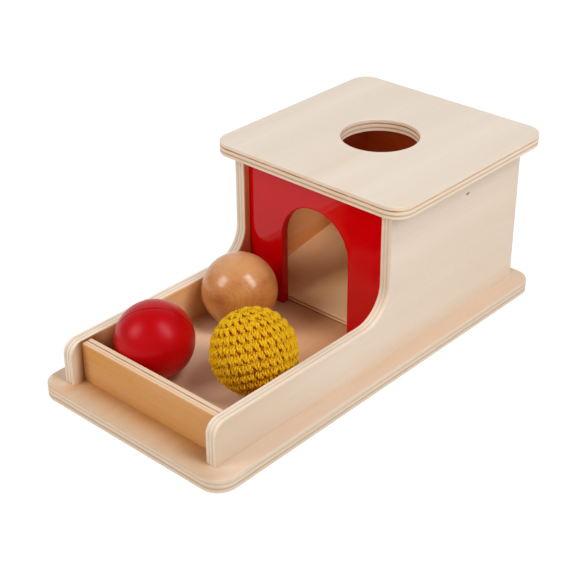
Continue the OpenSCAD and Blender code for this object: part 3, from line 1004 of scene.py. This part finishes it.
fit(wadding, fibre_fill, "crochet_ball", "wadding", "crochet_stuffing")

# The stage is a white floor in a dim, even studio with a bright white backdrop behind the box. Two
# tall soft boxes light it, a weaker one in front on the left and a stronger one on the right, and a
# weak warm card fills the front without showing in the gloss. The floor keeps a faint shadow.
white = (1.0, 1.0, 1.0)
warm_white = (1.0, 0.82, 0.65)
floor_size = 30.0
floor_drop = 0.05 * mm
floor_white = 0.72
floor_shadow_share = 0.2
floor_glow = 0.88
studio_level = 0.2
backdrop_level = 0.8
backdrop_way = (-0.674, 0.738, 0.0)
lamp_distance = 2.5
lamp_aim = Vector((-10.0, -60.0, 30.0)) * mm


def seen_by(tree, *rays):
    """1 where one of these kinds of ray looks at it, and 0 for other light."""
    paths = tree.nodes.new("ShaderNodeLightPath").outputs
    seen = 0.0
    for ray in rays:
        seen = calc(tree, "MAXIMUM", seen, paths["Is " + ray + " Ray"])
    return seen


def matt(tree, level):
    """A matt grey of that level."""
    return wire(tree, "ShaderNodeBsdfDiffuse", {"Color": (level, level, level, 1.0)})[0]


shape = bmesh.new()
bmesh.ops.create_grid(shape, x_segments=1, y_segments=1, size=floor_size / 2)
bmesh.ops.translate(shape, verts=shape.verts, vec=(0.0, 0.0, base_low.z - floor_drop))
floor = finished("floor", shape)
floor_finish = bpy.data.materials.new("floor_white")
floor_finish.use_nodes = True
tree = floor_finish.node_tree
tree.nodes.clear()
glow = wire(tree, "ShaderNodeEmission", {"Color": (*white, 1.0), "Strength": floor_glow})[0]
bright = wire(tree, "ShaderNodeAddShader", {0: matt(tree, floor_shadow_share), 1: glow})[0]
looked_at = seen_by(tree, "Camera", "Glossy", "Transmission")
shown = wire(tree, "ShaderNodeMixShader", {0: looked_at, 1: matt(tree, floor_white), 2: bright})[0]
wire(tree, "ShaderNodeOutputMaterial", {0: shown})
floor.data.materials.append(floor_finish)

# The camera sees white all round, and the gloss only the studio, which keeps the reds deep
studio = bpy.data.worlds.new("studio")
studio.use_nodes = True
tree = studio.node_tree
way = tree.nodes.new("ShaderNodeTexCoord").outputs["Generated"]
behind = step_up(tree, vector_calc(tree, "DOT_PRODUCT", way, backdrop_way), 0.35, 0.75)
light = either(tree, behind, studio_level, backdrop_level)
light = calc(tree, "MAXIMUM", light, seen_by(tree, "Camera", "Transmission"))
plug(tree, tree.nodes["Background"], {"Color": (*white, 1.0), "Strength": light})
bpy.context.scene.world = studio

for name, way, width, height, level, colour, mirrored in (
    ("softbox_left", (-0.36, -0.71, 0.605), 0.98, 1.27, 7.0, white, True),
    ("softbox_right", (0.67, 0.10, 0.74), 0.72, 1.77, 10.1, white, True),
    ("fill_card", (0.40, -0.85, 0.25), 2.0, 2.0, 0.9, warm_white, False),
):
    lamp = bpy.data.lights.new(name, "AREA")
    lamp.shape = "RECTANGLE"
    lamp.size = width
    lamp.size_y = height
    lamp.color = colour
    lamp.energy = level * math.pi * width * height
    softbox = set_out(name, lamp)
    softbox.location = lamp_aim + Vector(way).normalized() * lamp_distance
    softbox.rotation_euler = Vector(way).to_track_quat("Z", "Y").to_euler()
    softbox.visible_camera = False
    softbox.visible_glossy = mirrored

# The camera stands front right and above the box, where the photograph was taken, with a long lens.
# Its place and turn come from the box's edges and corners in the photograph's square frame.
camera_at = Vector((447.8, -501.6, 426.4)) * mm
camera_azimuth = math.radians(42.41)
camera_elevation = math.radians(30.30)
camera_roll = math.radians(-0.44)
camera_lens = 83.5
camera_sensor = 36.0
backwards = Vector((
    math.sin(camera_azimuth) * math.cos(camera_elevation),
    -math.cos(camera_azimuth) * math.cos(camera_elevation),
    math.sin(camera_elevation),
))
level_right = Vector((math.cos(camera_azimuth), math.sin(camera_azimuth), 0.0))
level_up = backwards.cross(level_right)
right = level_right * math.cos(camera_roll) + level_up * math.sin(camera_roll)
up = level_up * math.cos(camera_roll) - level_right * math.sin(camera_roll)
camera_data = bpy.data.cameras.new("camera")
camera_data.lens = camera_lens
camera_data.sensor_width = camera_sensor
camera = set_out("camera", camera_data)
camera.matrix_world = Matrix.Translation(camera_at) @ Matrix((right, up, backwards)).transposed().to_4x4()
bpy.context.scene.camera = camera
bpy.context.scene.view_settings.view_transform = "Standard"
